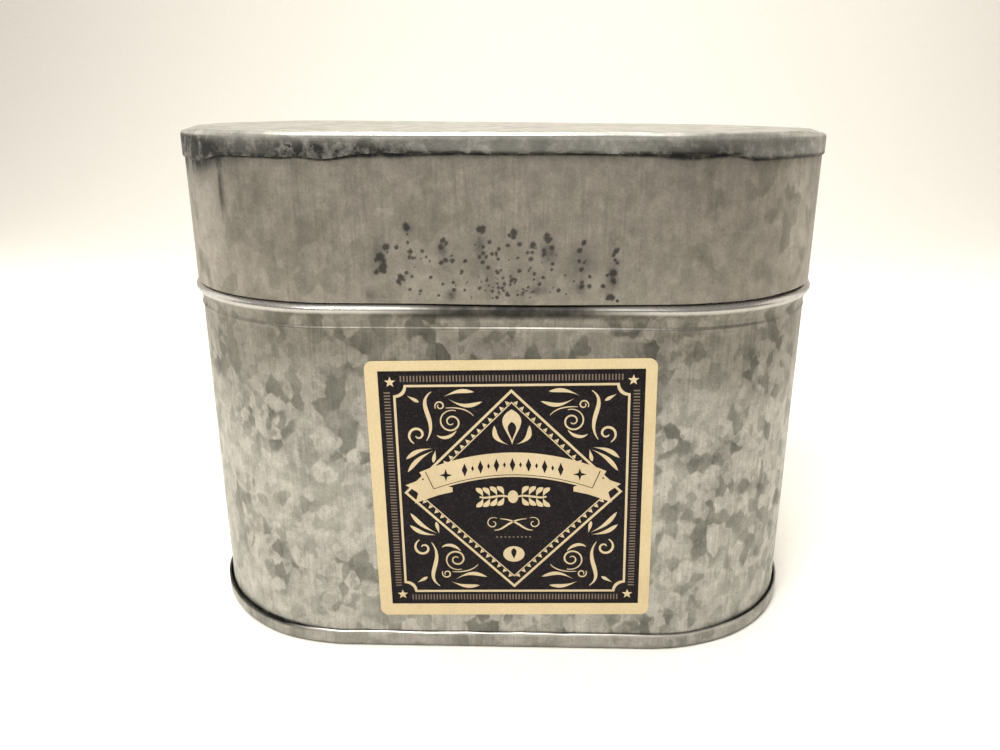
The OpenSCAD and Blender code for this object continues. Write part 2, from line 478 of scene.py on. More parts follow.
def printed_ink():
    """Near-black print with the fine speckle of a dry ink film."""
    g = Graph("printed_ink", Specular_IOR_Level=0.12)
    place = g.place()
    speck = g.noise(place, 2.4, 3.0, 0.75)
    wear = g.noise(place, 0.25, 3.0, 0.6)
    fleck = (0.034, 0.027, 0.026)
    tone = g.ramp(speck, [(0.34, (0.004, 0.003, 0.004)), (0.55, (0.009, 0.007, 0.008)), (0.74, fleck)])
    tone = g.blend(g.ramp(wear, [(0.5, 0.0), (0.8, 0.30)]), tone, (0.028, 0.021, 0.023))
    return g.finish(tone, g.spread(speck, 0.42, 0.56), g.bump(speck, 0.008, 0.5))


def soy_wax():
    """Creamy wax with soft frosting."""
    g = Graph(
        "soy_wax", Subsurface_Weight=0.35, Subsurface_Scale=0.004, Subsurface_Radius=(1.0, 0.8, 0.55),
        Specular_IOR_Level=0.45,
    )
    place = g.place()
    frost = g.noise(place, 0.16, 5.0, 0.62, 0.8)
    pits = g.noise(place, 1.4, 3.0, 0.6)
    clear, cloudy, frosted = (0.78, 0.66, 0.44), (0.86, 0.76, 0.56), (0.93, 0.87, 0.73)
    tone = g.ramp(frost, [(0.32, clear), (0.55, cloudy), (0.75, frosted)])
    return g.finish(tone, g.spread(frost, 0.34, 0.56), g.bump(pits, 0.06, 0.5))


def tinned_steel():
    g = Graph("tinned_steel", Metallic=1.0)
    scratches = g.noise(g.place(scale=(0.4, 7, 1)), 1.0, 3.0)
    tone = g.spread(g.noise(g.place(), 0.6, 3.0), (0.55, 0.56, 0.57), (0.70, 0.70, 0.69))
    return g.finish(tone, g.spread(scratches, 0.22, 0.38), g.bump(scratches, 0.01, 0.4))


def grained(name, noise_settings, tones, rough, relief=None, grain=(1, 1, 1), **constants):
    """A material whose colour, roughness and relief all follow one noise."""
    g = Graph(name, **constants)
    grains = g.noise(g.place(scale=grain), *noise_settings)
    tone = g.spread(grains, *tones)
    return g.finish(tone, g.spread(grains, *rough), g.bump(grains, *relief) if relief else None)


def cotton():
    tones = ((0.60, 0.52, 0.38), (0.86, 0.81, 0.70))
    rough, relief, grain = (0.75, 0.9), (0.06, 0.7), (6, 6, 1.5)
    return grained("waxed_cotton", (1.0, 4.0, 0.7), tones, rough, relief, grain, Sheen_Weight=0.3)


def foam():
    tones = ((0.70, 0.70, 0.66), (0.86, 0.86, 0.83))
    rough, relief = (0.75, 0.92), (0.05, 0.6)
    return grained("sticker_foam", (3.0, 3.0, 0.7), tones, rough, relief, Specular_IOR_Level=0.3)


def pale_floor():
    tones = ((0.92, 0.90, 0.84), (0.95, 0.93, 0.88))
    return grained("pale_floor", (0.35, 4.0, 0.6), tones, (0.85, 0.95), Specular_IOR_Level=0.2)


# -------- the tin's body

def bead_face(u):
    """Radius of the body's outer face, u of the way up the bead."""
    return WALL_R + (NECK_R - WALL_R) * u + BEAD_OUT * math.sin(math.pi * u ** 2.5)


def body_section():
    """The wall's outer line from its foot to the rolled rim, and back down its inner face."""
    foot = 0.6
    crease = BEAD_FOOT - 0.22
    outer = [(WALL_R, z) for z in [foot, 1.8, 2.8]]
    outer += upright(WALL_R, 3.2, 6.0, 0.2)
    outer += upright(WALL_R, 7.2, crease - 0.6, 1.6)
    ridge = [(0.10, -0.38), (0.27, -0.12), (0.28, 0.05), (0.16, 0.20)]
    outer += [(WALL_R + out, crease + up) for out, up in ridge]
    outer += [(bead_face(u), BEAD_FOOT + BEAD_H * u) for u in fractions(24)[1:]]
    outer += upright(NECK_R, BEAD_TOP + 0.3, NECK_TOP - 0.5, 1.5)
    inner = [(r - SHEET, z) for r, z in reversed(outer)]
    rim = arc_points(NECK_R - SHEET, NECK_TOP - SHEET, SHEET, 10, 170, 8)
    hem_r = NECK_R - 2 * SHEET
    hem = [(hem_r, NECK_TOP - 0.6), (hem_r, NECK_TOP - 1.8), (hem_r, NECK_TOP - 2.9)]
    inner = [(r, z) for r, z in inner if z < NECK_TOP - 3.0]
    return outer + rim + hem + inner


def dent(x, y, z):
    """Slight unevenness of hand-worked sheet, always inwards, and least behind the label."""
    behind_label = bump(x, LABEL_MID.x, 34) if y < 0 else 0.0
    slow = 0.5 + 0.5 * wobble(x, y, z, 26, 3.0)
    quick = 0.5 + 0.5 * wobble(x, y, z, 9, 8.0)
    return -(0.16 * slow + 0.05 * quick) * (1 - 0.9 * behind_label)


def foot_opening(x):
    """How far the base flange has sprung from the wall: open round the ends, and most at the left."""
    return max(step(-x, 33, 43), 0.8 * step(x, 39, 48))


def weathering(x, y, z):
    """Painted shade: how much darker the wall is painted, none below mid-height, most just under the bead,
    and none on the neck.
    """
    return step(z, 40, 64) * up_to_neck(z)


def under_overhang(x):
    """1 along the stretch of bead that the bowed lid shades."""
    return step(x, -26, -6) * (1 - step(x, 12, 28))


def up_to_neck(z):
    """1 on the body's outer face, fading to 0 above the bead."""
    return 1 - step(z, BEAD_TOP, BEAD_TOP + 1)


def body_wall(material):
    def shape(x, y, z):
        tuck = -0.12 * foot_opening(x) * (1 - step(z, 4, 16))
        flattened = (1 - 0.7 * bump(x, 12, 15)) * (1 - 0.6 * step(-x, 32, 46))
        ridge = -0.25 * bump(z, BEAD_FOOT - 0.15, 0.32) * flattened
        out = dent(x, y, z) * step(z, 4, 12) + tuck + ridge
        return out, 0.06 * wobble(x, y, z, 15, 5.0)

    # Grime mixed with painted shade: a painted dark line in the gap at the wall's foot, a patchy darker
    # band under the bead, and the lid's painted shadow on the bead's shoulder.
    def grime(x, y, z):
        line = 3.40 + 0.15 * foot_opening(x) + 0.18 * wobble(x, y, 0, 3, 2.0)
        foot = 1 - step(z, line - 0.15, line + 0.25)
        patchy = 0.3 + 0.3 * wobble(x, y, 0, 8, 4.0)
        under_bead = bump(z, BEAD_FOOT - 1.4, 0.5) * patchy
        shoulder = step(z, BEAD_TOP - 3.2, BEAD_TOP - 1.7) * up_to_neck(z)
        sheltered = 0.95 * shoulder * under_overhang(x) if y < 0 else 0.0
        return min(1.0, foot + max(0.0, under_bead) + sheltered)

    # Burnish with painted highlight: along the bead's top, except where the lid shades it, and faintly
    # along the crease.
    def rub(x, y, z):
        on_bead = step(z, BEAD_TOP - 2.0, BEAD_TOP - 1.4) * up_to_neck(z)
        crease = bump(z, BEAD_FOOT - 0.1, 0.3) * (0.05 + 0.40 * bump(x, 12, 13))
        return min(1.0, on_bead * (1 - under_overhang(x)) + crease)

    piece = sweep("body_wall_sheet", material, (110, 110, 70), body_section(), shape)
    finish_piece(piece, "tin", "body_sheet", "body_wall", grime=grime, rub=rub, weather=weathering)


def back_lap(material):
    """The outer lap of the wall's sheet, up the middle of the back, with a rolled edge."""
    half, thick, edge = 2.5, 0.40, 0.12
    low, high = 4.8, BEAD_FOOT - 2.2
    profile = [
        (-half, 0.0), (-half, thick - edge), (-half + edge, thick), (0, thick),
        (half - edge, thick), (half, thick - edge), (half, 0.0), (0, -0.05),
    ]
    levels = rows_between(low, high, 1.5)
    verts = []
    for z in levels:
        sway = 0.10 * wobble(0, 0, z, 12, 6.0)
        sink = dent(0, WALL_R, z) * step(z, 4, 12)
        verts += [(x + sway, WALL_R + y + sink, z) for x, y in profile]
    piece = new_object("back_lap", verts, tube_faces(len(levels), len(profile)), material, sharp=60)

    # Darker towards its foot.
    def grime(x, y, z):
        return 0.25 * (1 - step(z, 5, 12))

    finish_piece(piece, "tin", "body_sheet", grime=grime, weather=weathering)


def tube_faces(rings, sides):
    """Faces of a tube of rings with capped ends."""
    faces = [tuple(range(sides)), tuple((rings - 1) * sides + k for k in range(sides))]
    for low in range(0, (rings - 1) * sides, sides):
        high = low + sides
        for k in range(sides):
            m = (k + 1) % sides
            faces.append((low + k, low + m, high + m, high + k))
    return faces


def body_seam_solder(material):
    """A lumpy run of solder in the corner beside the back lap."""
    low, high = cad_box("body_seam_solder")
    levels = rows_between(low.z + 0.2, high.z - 0.2, 0.6)
    verts, sides = [], 8
    for n, z in enumerate(levels):
        end = math.sin(math.pi * min(1.0, 0.12 + min(n, len(levels) - 1 - n) * 0.3) / 2)
        width = (0.75 + 0.28 * wobble(0, 0, z, 2.2, 1.0)) * end
        height = (0.28 + 0.07 * wobble(0, 0, z, 1.7, 9.0)) * end
        for a in full_turn(sides):
            across = low.x + width * 0.5 * (1 + math.cos(a)) - 0.08
            verts.append((across, WALL_R - 0.10 + height * max(-0.2, math.sin(a)), z))
    piece = new_object("body_seam_solder_run", verts, tube_faces(len(levels), sides), material, sharp=70)
    finish_piece(piece, "tin", "solder", "body_seam_solder")


def base_gap(x, y):
    """Gap between the base flange and the wall's own line."""
    gap = 0.05 + foot_opening(x) * (0.27 + 0.07 * wobble(x, y, 0, 7, 12.0))
    return min(gap, FLANGE_GAP)


def base_pan(material):
    """The flat bottom, its rounded bend and the upturned flange, whose cut edge is a little uneven."""
    out_r = PAN_HI.y
    bend = 1.3
    top = PAN_HI.z
    edge = 0.10
    under = [(out_r - bend * 2.2 * i / 3 - bend, 0.0) for i in range(3, 0, -1)]
    flat = [(out_r * f, 0.0) for f in (0.0, 0.25, 0.5, 0.75)]
    outer = arc_points(out_r - bend, bend, bend, 270, 360, 8)
    outer += upright(out_r, bend + 0.3, top - edge, 0.4)
    lip = [(out_r - edge, top), (out_r - SHEET + edge, top)]
    inner = upright(out_r - SHEET, bend, top - edge, 0.5)[::-1]
    inner += arc_points(out_r - bend, bend, bend - SHEET, 350, 270, 6)
    back = [(out_r * f, SHEET) for f in (0.75, 0.5, 0.25, 0.0)]
    section = flat + under + outer + lip + inner + back

    def shape(x, y, z):
        on_flange = step(from_middle(x, y), out_r - 1.8, out_r - 0.6)
        pull = (base_gap(x, y) - FLANGE_GAP) * on_flange
        rise = step(z, bend, top)
        uneven = 0.16 * wobble(x, y, 0, 9, 21.0) + 0.10 * wobble(x, y, 0, 3.5, 22.0)
        dip = -0.55 * bump(x, -44, 4) * (1 if y < 0 else 0)
        return pull, (uneven + dip - 0.22) * rise

    # Painted shade in the gap between flange and wall, darker towards the floor, and a darker lip at the
    # left end.
    def grime(x, y, z):
        inside = from_middle(x, y) < WALL_R + base_gap(x, y) + 0.12
        crevice = step(z, 0.6, 1.0) * (1 - step(z, top - 0.4, top)) if inside else 0.0
        lower = 0.30 * (1 - step(z, 0.2, 1.6))
        lip = step(z, top - 1.0, top - 0.5) * step(-x, 30, 40)
        return max(crevice, lower, lip)

    # Burnish with painted highlight along the flange's cut edge, except where it has sprung open.
    def rub(x, y, z):
        patchy = 0.7 + 0.5 * wobble(x, y, 0, 6, 14.0)
        return step(z, top - 0.75, top - 0.5) * (1 - foot_opening(x)) * patchy

    piece = sweep("base_pan_sheet", material, (110, 90, 90), section, shape, closed=False)
    finish_piece(piece, "tin", "base_sheet", "base_pan", grime=grime, rub=rub)


# -------- the lid

def front_arc(y):
    """1 round the front, fading to 0 past the ends."""
    return 1 - step(y, -11, 9)


def lid_sag(x, y):
    """How far the skirt's lower edge hangs or lifts from level."""
    uneven = -0.12 * bump(x, 4, 20) + 0.30 * bump(x, 48, 14)
    return uneven * front_arc(y) - 0.24


def lid_bow(x, y):
    """The skirt's long sides belly out a little near the middle."""
    return 0.48 * bump(x, 5, 17) * step(abs(y), 0.9 * SKIRT_R, 0.98 * SKIRT_R)


# Runs of corrosion on the lid's front, in mm: place across, height of the top spot and of the run's foot
# over the lid's edge, and the top spot's radius
DRIPS = [
    (-18.3, 9.3, 8.0, 0.62), (-19.3, 8.0, 6.2, 0.86), (-19.2, 5.9, 4.6, 0.64),
    (-14.9, 12.6, 6.8, 0.56), (-16.0, 4.4, 2.8, 0.54), (-8.9, 10.5, 6.0, 0.42),
    (-2.6, 12.4, 6.0, 0.68), (2.7, 11.7, 8.6, 0.60), (5.7, 9.7, 6.8, 0.52), (8.2, 11.1, 7.8, 0.64),
    (14.1, 10.1, 2.6, 0.46), (19.5, 8.7, 6.8, 0.52), (19.0, 5.0, 2.4, 0.74), (18.9, 0.9, 0.4, 0.60),
]
# Soft grey smudges among them, in mm: place across, height, half width, half height and strength
SMUDGES = [
    (-9.1, 8.9, 0.9, 1.5, 0.8), (-7.7, 1.3, 1.0, 0.9, 0.9), (-2.9, 9.8, 0.9, 2.0, 0.8),
    (6.9, 2.2, 1.6, 0.7, 0.7), (8.5, 8.4, 1.2, 1.6, 0.8), (14.1, 6.6, 2.2, 2.8, 0.55),
    (13.8, 2.6, 1.0, 1.0, 0.6), (19.1, 4.6, 1.0, 2.2, 0.9), (-19.6, 8.6, 1.3, 2.4, 0.7),
    (-14.7, 12.2, 0.8, 1.0, 0.7), (-21.5, 1.2, 1.5, 1.0, 0.6), (1.5, 5.2, 7.0, 3.0, 0.18),
]
# Dark runs down the skirt from under the flange, in mm: place across, half width, the foot's height
# and the strength
SOOT_RUNS = [
    (-47.0, 0.45, 79, 0.85), (-44.0, 3.0, 72, 0.12), (-32.5, 1.3, 74, 0.22),
    (-24.0, 2.2, 80, 0.15), (-9.0, 0.6, 84, 0.18), (30.0, 4.0, 83, 0.30),
]


def corrosion_spots():
    """Spots as (x, z, radius): a large head to each run, smaller ones below it, and fine ones between."""
    rng = random.Random(11)
    spots = []
    for x, top, foot, head in DRIPS:
        shift = head * 0.45
        for _ in range(3):
            place = (x + rng.uniform(-shift, shift), top + rng.uniform(-shift, shift))
            spots.append((*place, head * rng.uniform(0.8, 1.15)))
        for _ in range(int(2 + (top - foot) / 1.1)):
            spots.append((x + rng.gauss(0, 0.6), rng.uniform(foot, top), rng.uniform(0.22, 0.55)))
    for _ in range(105):
        spots.append((rng.triangular(-18, 17, 0), rng.triangular(0.5, 9.5, 2.0), rng.uniform(0.16, 0.42)))
    return [(x, LID_LINE + h, r) for x, h, r in spots]


def skirt_sink(x, y, z):
    """Slight hollows in the skirt's sheet."""
    return 0.12 * (0.5 + 0.5 * wobble(x, y, z, 22, 31.0))


def lid_skirt(material):
    """The skirt's sheet, with rows of points close together where the spots and the tarnish are."""
    edge = 0.09
    top = TOP_Z - 1.6
    spotted_top = LID_LINE + 14
    outer = [(SKIRT_R - edge, LID_LINE), (SKIRT_R, LID_LINE + edge)]
    outer += upright(SKIRT_R, LID_LINE + 0.35, spotted_top, 0.27)
    outer += upright(SKIRT_R, spotted_top + 1, TOP_Z - 6.2, 1)
    outer += upright(SKIRT_R, TOP_Z - 6.0, top, 0.2)
    inner = upright(SKIRT_R - SHEET, LID_LINE + 0.1, top, 3)[::-1]
    section = outer + inner

    def shape(x, y, z):
        low = 1 - step(z, LID_LINE, top - 2)
        lean = lid_lean(x, y) * step(z, TOP_Z - 6, top)
        return lid_bow(x, y) * low - skirt_sink(x, y, z), lid_sag(x, y) * low + lean

    marks = corrosion_spots()
    left, right = min(x for x, z, r in marks) - 2, max(x for x, z, r in marks) + 2

    def unmarked(x, y, z):
        return y > 0 or not left < x < right or z > spotted_top

    def spots(x, y, z):
        if unmarked(x, y, z):
            return 0.0
        best = 0.0
        for sx, sz, radius in marks:
            d2 = (x - sx) ** 2 + (z - sz) ** 2
            if d2 < 9 * radius * radius:
                best = max(best, math.exp(-0.75 * d2 / (radius * radius)))
        return best

    # Painted shade: a dark line under the flange's cut edge, widest where the flange stands loose, a soft
    # shade below it and a darker patch under the left end. The seam line and the runs are soot.
    def smoke(x, y, z):
        seam_angle = math.atan2(y, x + HALF_STRAIGHT) if x < -HALF_STRAIGHT else 0.0
        seam = bump(seam_angle, SEAM_ANGLE, 0.012) * step(z, LID_LINE + 6, LID_LINE + 20)
        below = cap_edge(x, y) - z
        loose = bump(x, -18, 5) + bump(x, 31, 7)
        line = 1.0 if below < 0 else 1 - step(below, 0.15, 0.42 + 0.85 * loose)
        line *= 1 - 0.55 * bump(x, -41, 5) - 0.6 * step(x, 41, 47)
        shade = 0.35 * bump(max(below, 0.0), 0.0, 1.6)
        left_end = bump(x, -54, 9) * 0.8 * bump(max(below, 0.0), 0.0, 3.0)
        runs = sum(k * bump(x, u, w) * step(z, foot, foot + 6) for u, w, foot, k in SOOT_RUNS)
        return min(1.0, front_arc(y) * (0.95 * line + shade + 0.9 * seam + left_end + runs))

    def smudge(x, y, z):
        if unmarked(x, y, z):
            return 0.0
        return min(1.0, sum(k * bump(x, u, a) * bump(z - LID_LINE, v, b) for u, v, a, b, k in SMUDGES))

    piece = sweep("lid_skirt_sheet", material, (150, 240, 90), section, shape)
    finish_piece(piece, "lid", "lid_sheet", "lid_skirt", spots=spots, smudge=smudge, smoke=smoke)


def cap_drop(x, y):
    """How far the flange's cut edge hangs below the fold, uneven from hand forming."""
    front = front_arc(y)
    drop = 3.30 + 0.10 * wobble(x, y, 0, 6, 41.0) + 0.06 * wobble(x, y, 0, 2.4, 42.0)
    left_end = step(-x, 46, 52) * 1.2
    lapped = step(-x, 30, 36) * 0.70
    lump = 0.95 * bump(x, -28, 4.0)
    right_end = step(x, 37, 42) * 0.9
    return drop + front * (left_end + lapped + lump + right_end)


def cap_gap(x, y):
    """Gap between the flange and the skirt."""
    front = front_arc(y)
    loose = 0.34 * bump(x, -18, 6) + 0.30 * bump(x, 31, 6)
    loose += 0.12 * bump(x, 6, 16)
    return 0.04 + front * loose + 0.03 * (1 + wobble(x, y, 0, 5, 43.0))


def lid_lean(x, y):
    """The top panel's lean: highest along the front and at the back left, lowest at the back right."""
    across, deep = x / SKIRT_HI.x, (y + SKIRT_R) / (2 * SKIRT_R)
    front_z = -0.18 - 0.08 * across
    back_z = -0.60 - 0.55 * across
    return front_z + (back_z - front_z) * deep


def end_droop(x):
    """How far the fold is rounded over at the lid's two ends."""
    return -0.60 * step(abs(x), 50, 59)


def cap_edge(x, y):
    """Height of the flange's cut edge."""
    return TOP_Z + lid_lean(x, y) - cap_drop(x, y)


def lid_cap(material):
    """Top panel, rounded fold and down-turned flange in one pressed sheet."""
    out_r = CAP_HI.y
    bend = 0.75
    edge = 0.10
    rings = [0.0, 0.12, 0.24, 0.36, 0.48, 0.6, 0.7, 0.8, 0.87]
    top = [((out_r - bend) * f, TOP_Z) for f in rings]
    top += [(out_r - bend - inset, TOP_Z) for inset in (2.0, 1.0, 0.3, 0.05)]
    top += arc_points(out_r - bend, TOP_Z - bend, bend, 90, 0, 10)
    fall = [0.12, 0.28, 0.44, 0.6, 0.76, 0.9]
    flange = 1.7
    outer = [(out_r, TOP_Z - bend - flange * f) for f in fall]
    lip = [(out_r - edge, TOP_Z - bend - flange), (out_r - SHEET + edge, TOP_Z - bend - flange)]
    inner = [(out_r - SHEET, TOP_Z - bend - flange * f) for f in reversed(fall)]
    inner += arc_points(out_r - bend, TOP_Z - bend, bend - SHEET, 0, 90, 6)
    under = [((out_r - bend) * f, TOP_Z - SHEET) for f in (0.9, 0.6, 0.3, 0.0)]
    section = top + outer + lip + inner + under

    def shape(x, y, z):
        reach = from_middle(x, y)
        rim = step(reach, out_r - 5.0, out_r - 0.8)
        hang = step(TOP_Z - z, bend, bend + flange)
        pull = min(cap_gap(x, y) - 0.30 + 0.5 * lid_bow(x, y), 0.0) * rim
        crown = 0.08 * wobble(x, y, 0, 22, 51.0)
        crimp = 0.04 * wobble(x, y, 0, 5, 52.0) * rim
        lower = -(cap_drop(x, y) - bend - flange) * hang
        droop = end_droop(x) * step(reach, out_r - 3.0, out_r - 0.6) * (1 - hang)
        return pull, lid_lean(x, y) + droop + crown * (1 - rim) + crimp + lower

    # Painted shade darkens the whole flange against the top panel; the patches at the left, the far left
    # and the right are tarnish, and the line at the cut edge is darker still.
    def smoke(x, y, z):
        depth = TOP_Z + lid_lean(x, y) - z
        on_flange = step(depth, 0.7, 1.2)
        stain = 0.55 * bump(x, -27, 16) + 0.8 * bump(x, -56, 10)
        stain += 0.35 * bump(x, 33, 8)
        stain *= 0.55 + 0.45 * step(depth, 1.2, 2.6)
        edge_line = step(depth, cap_drop(x, y) - 0.7, cap_drop(x, y)) * 0.45
        front = front_arc(y)
        return min(1.0, (0.30 + front * (0.20 + stain + edge_line)) * on_flange)

    # Burnish with painted highlight along the fold, strongest along the front's middle.
    def rub(x, y, z):
        depth = TOP_Z + lid_lean(x, y) - z
        fold = step(depth, 0.0, 0.3) * (1 - step(depth, 0.7, 1.0))
        along = step(x, -34, -20) * (1 - 0.8 * step(x, 18, 30))
        return fold * along if y < 0 else 0.4 * fold

    piece = sweep("lid_cap_sheet", material, (120, 150, 150), section, shape, closed=False)
    finish_piece(piece, "lid", "lid_top_sheet", "lid_top", smoke=smoke, rub=rub)


def lid_top_solder(material):
    """The rippled fillet of solder inside the lid, in the corner between skirt and top."""
    inner, leg = SKIRT_R - SHEET - 0.05, 1.4
    roof = TOP_Z - SHEET - 0.1
    section = [
        (inner, roof - leg), (inner, roof), (inner - leg, roof),
        (inner - 0.62 * leg, roof - 0.25 * leg), (inner - 0.25 * leg, roof - 0.58 * leg),
    ]

    def shape(x, y, z):
        free = z < roof - 0.2 * leg and from_middle(x, y) < inner - 0.2 * leg
        ripple = 0.12 * wobble(x, y, z, 2.5, 61.0) if free else 0.0
        return ripple, lid_lean(x, y) + end_droop(x) + ripple

    piece = sweep("lid_top_solder_run", material, (110, 90, 90), section, shape)
    finish_piece(piece, "lid", "solder", "lid_top_solder")


def lid_seam_solder(material):
    """A low smear of solder up the skirt's lap, on the left end towards the front."""
    low, high = cad_box("lid_seam_solder")
    levels = rows_between(low.z + 0.4, high.z - 0.2, 0.8)
    end, half = (-HALF_STRAIGHT, 0.0), 1.35 / SKIRT_R
    seam = polar(end, SKIRT_R, SEAM_ANGLE)
    across = [2 * t - 1 for t in fractions(8)]
    apart = 1000  # sets the columns far apart in the noise, so that each ripples by itself
    verts = []
    for z in levels:
        face = SKIRT_R - skirt_sink(*seam, z)
        wide = half * (1 + 0.12 * wobble(0, 0, z, 4, 61.0))
        for t in across:
            swollen = 0.14 * (1 - t * t) * (1 + 0.3 * wobble(apart * t, 0, z, 3, 62.0))
            verts.append((*polar(end, face - 0.02 + swollen, SEAM_ANGLE + wide * t), z))
        verts += [(*polar(end, face - 0.12, SEAM_ANGLE + 0.96 * half * t), z) for t in reversed(across)]
    faces = tube_faces(len(levels), 2 * len(across))
    piece = new_object("lid_seam_solder_run", verts, faces, material, sharp=70)

    # Darker in its upper part.
    def smoke(x, y, z):
        return 0.35 * step(z, LID_LINE + 12, LID_LINE + 23)

    finish_piece(piece, "lid", "solder", "lid_seam_solder", smoke=smoke)


# -------- wax and wicks

def wax_fill(material):
    """The poured wax, with a shallow meniscus at the wall and a soft hump round each wick."""
    out_r = WAX_HI.y
    top = WAX_HI.z
    rings = [0.0, 0.1, 0.2, 0.3, 0.4, 0.5, 0.6, 0.7, 0.8, 0.87, 0.92, 0.95, 0.975, 0.99, 1.0]
    surface = [(out_r * f, top) for f in rings]
    side = upright(out_r, WAX_LO.z + 2, top - 1, 6)[::-1]
    foot = [(out_r - 1.7, WAX_LO.z), (out_r * 0.5, WAX_LO.z), (0.0, WAX_LO.z)]
    section = surface + side + foot
    wicks = [sum(cad_box(node), Vector()) / 2 for node in ("wick_left", "wick_right")]

    def shape(x, y, z):
        if z < top - 0.5:
            return 0.0, 0.0
        meniscus = 0.9 * step(from_middle(x, y), out_r - 3.0, out_r)
        humps = sum(0.8 * bump(math.hypot(x - w.x, y - w.y), 0.0, 2.4) for w in wicks)
        ripple = 0.15 * wobble(x, y, 0, 14, 71.0)
        return 0.0, -0.95 + meniscus + humps + ripple

    piece = sweep("wax_block", material, (72, 72, 72), section, shape, closed=False)
    finish_piece(piece, "tin", "wax", "wax_fill")


def wick(side, material, lean):
    """A flat braid of three cotton strands, trimmed and slightly bent at the top."""
    node = "wick_" + side
    low, high = cad_box(node)
    foot, top = low.z + 1, high.z
    middle = (low + high) / 2
    strand_r, spread, pitch, sides = 0.46, 0.58, 4.2, 8
    verts, faces = [], []
    for strand in range(3):
        levels = rows_between(foot, top - 0.15 * strand, 0.3)
        start = len(verts)
        for z in levels:
            phase = 2 * math.pi * (z / pitch + strand / 3)
            bend = max(0.0, z - (top - 7)) / 7
            x = middle.x + spread * math.sin(phase) + lean * 1.1 * bend ** 2
            y = middle.y + 0.55 * spread * math.sin(2 * phase) + 0.3 * bend ** 2
            verts += [(*polar((x, y), strand_r, a), z) for a in full_turn(sides)]
        faces += [tuple(start + i for i in f) for f in tube_faces(len(levels), sides)]
    finish_piece(new_object(node + "_braid", verts, faces, material, sharp=70), "tin", "wick", node)


# -------- the label

class Inlay:
    """Thin shapes laid on the label's plane. Points are (right, up) in mm from the print's middle."""

    def __init__(self, low, high, scale=1.013, shift=(0.2, 0.35)):
        self.low, self.high = low, high
        self.scale, self.shift = scale, shift
        self.verts, self.faces = [], []

    def corner(self, point, depth):
        u, v = (p * self.scale + move for p, move in zip(point, self.shift))
        c, s = math.cos(LABEL_TURN), math.sin(LABEL_TURN)
        return (LABEL_MID.x + u * c - v * s, -WALL_R - depth, LABEL_MID.z + u * s + v * c)

    def plate(self, outline):
        """A solid of any simple outline."""
        start, count = len(self.verts), len(outline)
        self.verts += [self.corner(p, self.high) for p in outline]
        self.verts += [self.corner(p, self.low) for p in outline]
        top = tuple(range(start, start + count))
        bottom = tuple(range(start + 2 * count - 1, start + count - 1, -1))
        self.faces += [top, bottom]
        for i in range(count):
            j = (i + 1) % count
            self.faces.append((start + j, start + i, start + count + i, start + count + j))

    def strip(self, left, right, closed=False):
        """A solid band between two lines of the same number of points."""
        start, count = len(self.verts), len(left)
        for a, b in zip(left, right):
            self.verts += [self.corner(a, self.high), self.corner(b, self.high)]
            self.verts += [self.corner(b, self.low), self.corner(a, self.low)]
        for i in range(count if closed else count - 1):
            p, q = start + 4 * i, start + 4 * ((i + 1) % count)
            self.faces += [(p + k, q + k, q + (k + 1) % 4, p + (k + 1) % 4) for k in range(4)]
        if not closed:
            end = start + 4 * (count - 1)
            self.faces += [(start, start + 1, start + 2, start + 3), (end + 3, end + 2, end + 1, end)]

    def stroke(self, points, widths):
        """A band of varying width along a line."""
        sides = []
        for i, (u, v) in enumerate(points):
            a, b = points[max(i - 1, 0)], points[min(i + 1, len(points) - 1)]
            sides.append(either_side(u, v, b[0] - a[0], b[1] - a[1], widths[i] / 2))
        self.strip(*zip(*sides))

    def piece(self, name, material, *nodes):
        made = new_object(name, self.verts, self.faces, material, sharp=30)
        finish_piece(made, "tin", "label", *nodes)


def either_side(u, v, du, dv, half):
    """The points half a width to the left and right of (u, v), for a line running along (du, dv)."""
    size = math.hypot(du, dv)
    out_u, out_v = dv / size * half, du / size * half
    return (u - out_u, v + out_v), (u + out_u, v - out_v)


def swell(count, thin, thick, peak=0.5):
    """Widths that grow from thin to thick at the peak and back."""
    widths = []
    for t in fractions(count - 1):
        rise = t / peak if t < peak else (1 - t) / (1 - peak)
        widths.append(thin + (thick - thin) * math.sin(math.pi / 2 * rise))
    return widths


def bezier(a, b, c, d):
    points = []
    for t in fractions(21):
        k = ((1 - t) ** 3, 3 * t * (1 - t) ** 2, 3 * t * t * (1 - t), t ** 3)
        points.append(tuple(sum(w * p[n] for w, p in zip(k, (a, b, c, d))) for n in (0, 1)))
    return points


def spiral(centre, inner, outer, start, turns, count=44):
    """From the inner end outwards. Angles are in degrees, and negative turns run clockwise."""
    points = []
    for t in fractions(count - 1):
        r = inner + (outer - inner) * t ** 1.15
        points.append(polar(centre, r, math.radians(start + 360 * turns * t)))
    return points


def petal(foot, tip, width, curve=0.0):
    """A teardrop outline from a pointed foot to a round tip, bent sideways by curve."""
    du, dv = tip[0] - foot[0], tip[1] - foot[1]
    sides = []
    for t in fractions(12):
        half = width / 2 * math.sin(math.pi * t ** 1.7) ** 0.8 if 0 < t < 1 else 0.0
        side = curve * math.sin(math.pi * t)
        u, v = foot[0] + du * t - dv * side, foot[1] + dv * t + du * side
        sides.append(either_side(u, v, du, dv, half))
    left, right = zip(*sides)
    return left + right[-2:0:-1]


def oval(centre, half_u, half_v, count=40):
    return [(centre[0] + half_u * math.cos(a), centre[1] + half_v * math.sin(a)) for a in full_turn(count)]


def star(centre, radius, points=5, waist=0.42):
    outline = []
    for i in range(2 * points):
        r = radius if i % 2 == 0 else radius * waist
        outline.append(polar(centre, r, math.pi / 2 + math.pi * i / points))
    return outline


